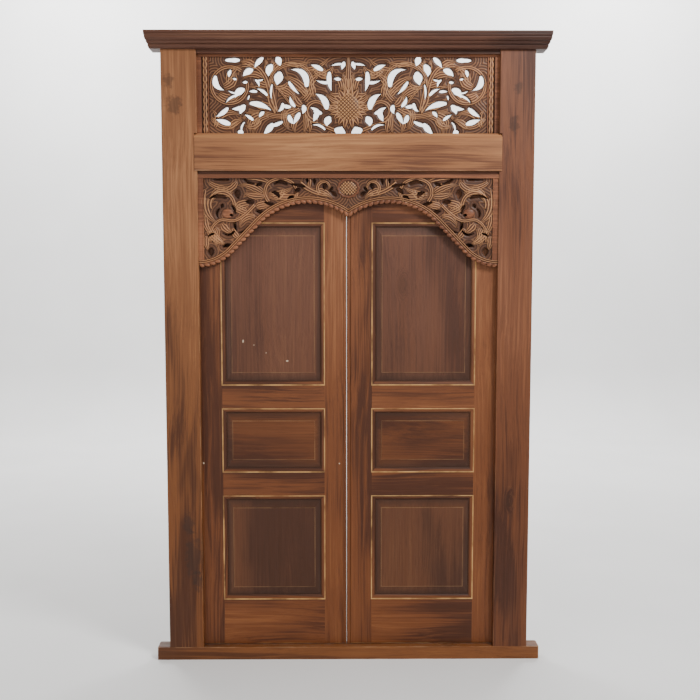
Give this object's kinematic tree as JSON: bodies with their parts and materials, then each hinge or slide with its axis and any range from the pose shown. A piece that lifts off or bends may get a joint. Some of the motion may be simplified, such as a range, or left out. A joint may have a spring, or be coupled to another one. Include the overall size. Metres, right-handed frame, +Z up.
{
  "type": "carved temple door",
  "caption": "Double door in its own frame: raised-panel leaves on lift-off hinges under an arched, rope-edged carved apron and a pierced transom of scrolls.",
  "frame": {"origin": "middle of the sill's foot, halfway through the frame's depth", "axes": "+Z up, +Y towards the back, the side the leaves open to, +X to the right seen from the front"},
  "size_m": [1.55, 0.1167, 2.472],
  "materials": {
    "frame_timber": "waxed, worn",
    "leaf_timber": "waxed, worn",
    "panel_timber": "waxed, worn",
    "carved_timber": "waxed, carved",
    "cornice_timber": "waxed",
    "hinge_steel": "dark, aged"
  },
  "bodies": {
    "frame": {"arch_apron": "carved_timber", "cornice": "cornice_timber", "head_strip": "cornice_timber", "jamb_left": "frame_timber", "jamb_right": "frame_timber", "left_lower_hinge_jamb_half": "hinge_steel", "left_lower_hinge_pin": "hinge_steel", "left_middle_hinge_jamb_half": "hinge_steel", "left_middle_hinge_pin": "hinge_steel", "left_upper_hinge_jamb_half": "hinge_steel", "left_upper_hinge_pin": "hinge_steel", "lintel": "frame_timber", "right_lower_hinge_jamb_half": "hinge_steel", "right_lower_hinge_pin": "hinge_steel", "right_middle_hinge_jamb_half": "hinge_steel", "right_middle_hinge_pin": "hinge_steel", "right_upper_hinge_jamb_half": "hinge_steel", "right_upper_hinge_pin": "hinge_steel", "sill": "frame_timber", "transom_panel": "carved_timber"},
    "left_leaf": {"left_bottom_rail": "leaf_timber", "left_hanging_stile": "leaf_timber", "left_lock_rail": "leaf_timber", "left_lower_hinge_leaf_half": "hinge_steel", "left_lower_panel": "panel_timber", "left_meeting_stile": "leaf_timber", "left_middle_hinge_leaf_half": "hinge_steel", "left_middle_panel": "panel_timber", "left_top_rail": "leaf_timber", "left_upper_hinge_leaf_half": "hinge_steel", "left_upper_panel": "panel_timber", "left_upper_rail": "leaf_timber"},
    "right_leaf": {"right_bottom_rail": "leaf_timber", "right_hanging_stile": "leaf_timber", "right_lock_rail": "leaf_timber", "right_lower_hinge_leaf_half": "hinge_steel", "right_lower_panel": "panel_timber", "right_meeting_stile": "leaf_timber", "right_middle_hinge_leaf_half": "hinge_steel", "right_middle_panel": "panel_timber", "right_top_rail": "leaf_timber", "right_upper_hinge_leaf_half": "hinge_steel", "right_upper_panel": "panel_timber", "right_upper_rail": "leaf_timber"}
  },
  "joints": [
    {"name": "left_leaf_swing", "type": "hinge", "parent": "frame", "child": "left_leaf", "pos_m": [-0.595, 0.036, 1], "axis": [0, 0, 1], "range_deg": [0, 105]},
    {"name": "right_leaf_swing", "type": "hinge", "parent": "frame", "child": "right_leaf", "pos_m": [0.595, 0.036, 1], "axis": [0, 0, -1], "range_deg": [0, 105]}
  ]
}
